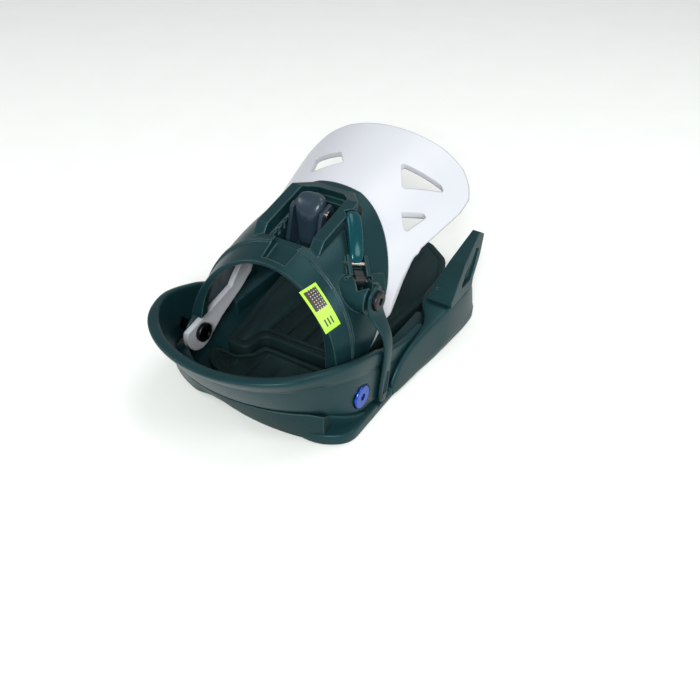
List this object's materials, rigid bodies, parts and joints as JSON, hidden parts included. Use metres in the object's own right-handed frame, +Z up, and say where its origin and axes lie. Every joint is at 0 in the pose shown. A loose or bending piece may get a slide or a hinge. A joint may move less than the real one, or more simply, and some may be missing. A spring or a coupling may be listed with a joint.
{
  "type": "snowboard binding",
  "caption": "Strapless step-in snowboard binding for a right foot: baseplate, leaning heel hoop, toe hooks and a folded highback with an arched heel housing.",
  "frame": {"origin": "centre of the mounting disc, on the flat underside that rests on the board", "axes": "+X to the outer side of the right foot, +Y to the toe, +Z up from the board"},
  "size_m": [0.164, 0.254, 0.1189],
  "materials": {
    "base_nylon": "glass-filled nylon, fine grain",
    "disc_nylon": "glass-filled nylon, fine grain",
    "hoop_nylon": "glass-filled nylon, semi matt",
    "bumper_rubber": "moulded rubber, matt",
    "footbed_eva": "moulded foam rubber, matt",
    "hook_nylon": "glass-filled nylon, semi matt",
    "housing_nylon": "glass-filled nylon, semi matt",
    "black_steel": "blackened, satin",
    "bright_steel": "turned",
    "blue_aluminium": "blue anodised",
    "highback_white": "smooth moulded, satin",
    "label_film": "printed film",
    "grey_plastic": "smooth moulded",
    "lever_gloss": "polished",
    "black_plastic": "smooth moulded"
  },
  "bodies": {
    "base": {"baseplate": "base_nylon", "mounting_disc": "disc_nylon", "heel_hoop": "hoop_nylon", "heel_bumper": "bumper_rubber", "footbed_main": "footbed_eva", "footbed_heel": "footbed_eva", "toe_hook_outer": "hook_nylon", "toe_hook_inner": "hook_nylon", "toe_hook_screws": "black_steel", "hoop_pivot_bolts": "blue_aluminium", "hoop_pivot_nuts": "black_steel"},
    "highback_group": {"highback": "highback_white", "heel_housing": "housing_nylon", "size_label": "label_film", "catch_cover": "hook_nylon", "stop_arm": "hook_nylon", "stop_pin": "black_steel", "arm_screw": "black_steel", "lever_pin": "bright_steel", "cam_pin": "bright_steel", "housing_rivets": "black_steel"},
    "lean_slider": {"lean_carriage": "grey_plastic", "lean_pin": "bright_steel"},
    "lean_flap": {"lean_lever": "grey_plastic"},
    "lever": {"release_lever": "lever_gloss"},
    "cam": {"catch_cam": "black_plastic"}
  },
  "joints": [
    {"name": "highback_fold", "type": "hinge", "parent": "base", "child": "highback_group", "pos_m": [0, -0.088, 0.024], "axis": [1, 0, 0], "range_deg": [0, 57]},
    {"name": "lean_slide", "type": "slide", "parent": "highback_group", "child": "lean_slider", "axis": [0, 0.9781, 0.2079], "range_m": [0, 0.008]},
    {"name": "lean_hinge", "type": "hinge", "parent": "lean_slider", "child": "lean_flap", "pos_m": [0, -0.02934, 0.10394], "axis": [-1, 0, 0], "range_deg": [0, 70]},
    {"name": "release_hinge", "type": "hinge", "parent": "highback_group", "child": "lever", "pos_m": [0.043, -0.04393, 0.08602], "axis": [0.6397, 0.7253, -0.2545], "range_deg": [0, 50]},
    {"name": "cam_hinge", "type": "hinge", "parent": "highback_group", "child": "cam", "pos_m": [0.04859, -0.05108, 0.07972], "axis": [0.6397, 0.7253, -0.2545], "range_deg": [-50, 0]}
  ],
  "couplings": [
    {"joint": "cam_hinge", "follows": "release_hinge", "ratio": -1}
  ]
}
